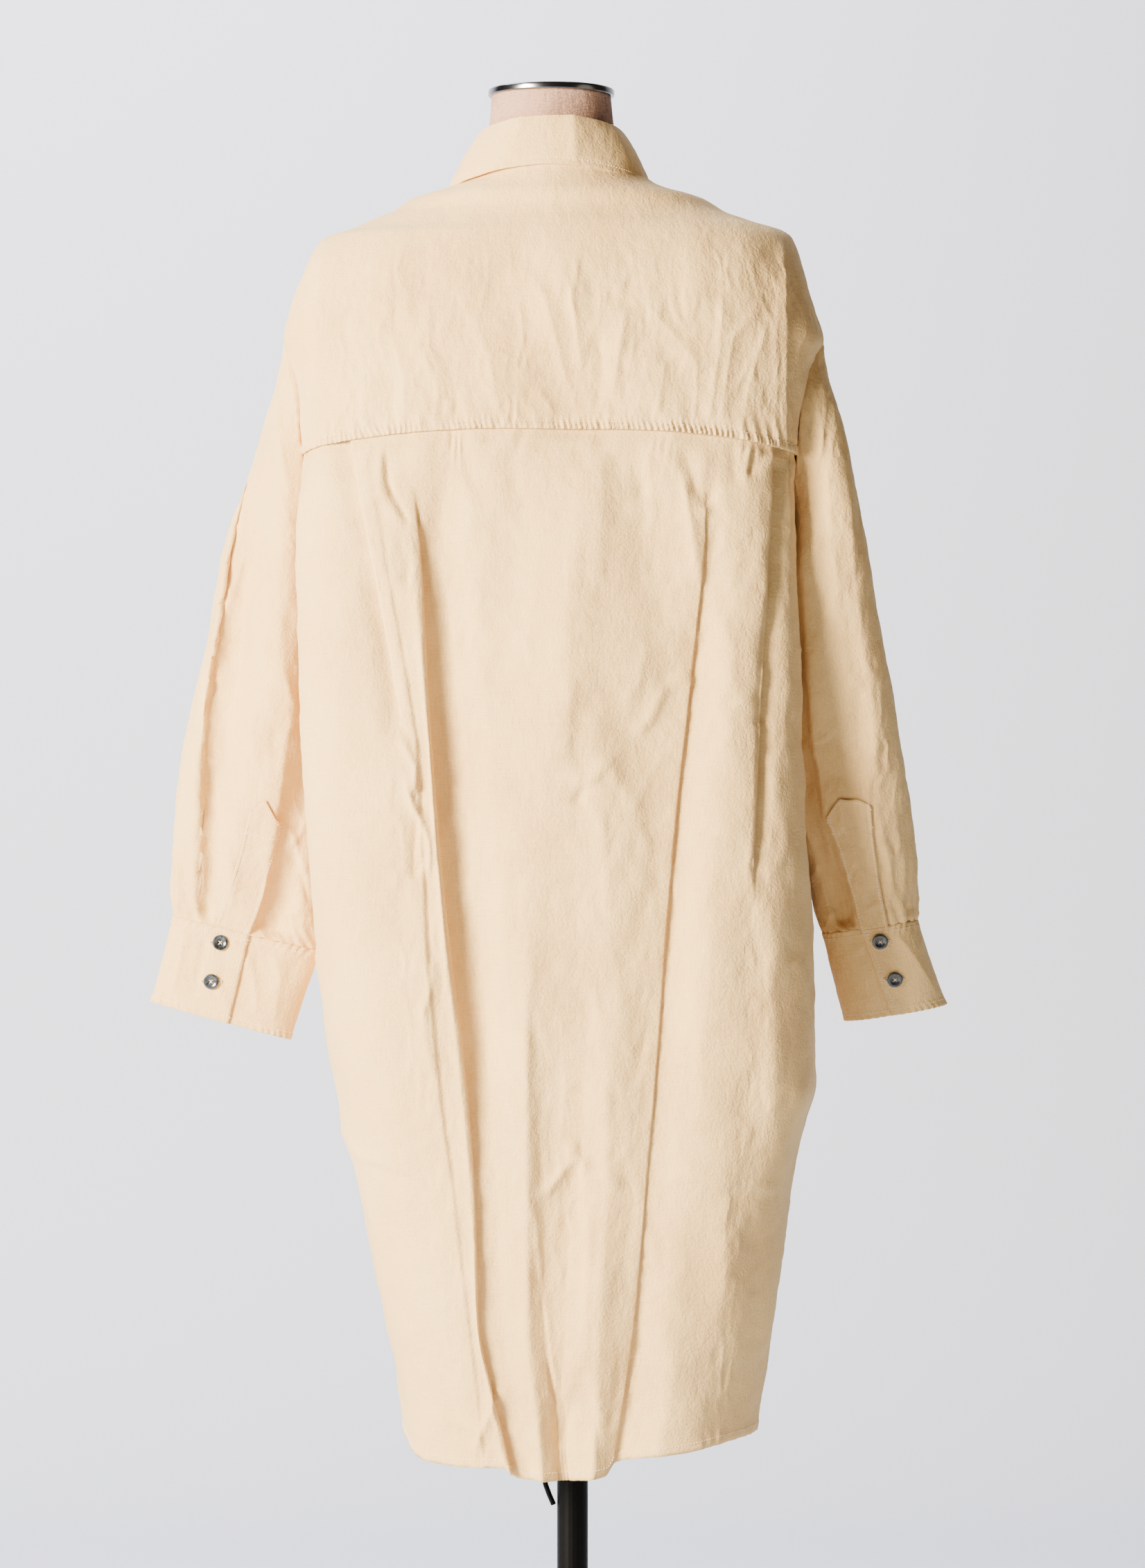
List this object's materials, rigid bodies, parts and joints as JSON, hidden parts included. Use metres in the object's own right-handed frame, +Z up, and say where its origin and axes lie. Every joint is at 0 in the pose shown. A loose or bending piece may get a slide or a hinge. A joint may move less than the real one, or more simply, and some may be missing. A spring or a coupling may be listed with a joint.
{
  "type": "shirt dress on a dress form",
  "caption": "Knee-length cotton shirt dress with collar, yoke, pleated back and long cuffed sleeves, worn by a limbless dress form on a pole and round base.",
  "frame": {"origin": "on the floor under the pole, at the centre of the base's underside", "axes": "+Z up along the pole; -Y is the wearer's front and +X the wearer's left"},
  "size_m": [0.6564, 0.36, 1.4754],
  "materials": {
    "cotton": "plain-woven crisp cotton, matt",
    "linen": "coarse linen cover, matt",
    "shell": "dark pearly button, polished",
    "chrome": "polished",
    "black_steel": "satin black"
  },
  "bodies": {
    "root": {"back_panel": "cotton", "yoke": "cotton", "left_front": "cotton", "right_front": "cotton", "button_band": "cotton", "collar": "cotton", "collar_stand": "cotton", "left_sleeve": "cotton", "right_sleeve": "cotton", "left_placket": "cotton", "right_placket": "cotton", "left_cuff": "cotton", "right_cuff": "cotton", "left_cuff_button_1": "shell", "left_cuff_button_2": "shell", "right_cuff_button_1": "shell", "right_cuff_button_2": "shell", "front_button_1": "shell", "front_button_2": "shell", "front_button_3": "shell", "front_button_4": "shell", "front_button_5": "shell", "front_button_6": "shell", "front_button_7": "shell", "front_button_8": "shell", "front_button_9": "shell", "form": "linen", "neck_cap": "chrome", "pole": "black_steel", "base": "black_steel", "clamp_ring": "black_steel", "clamp_lever": "black_steel"}
  },
  "joints": []
}
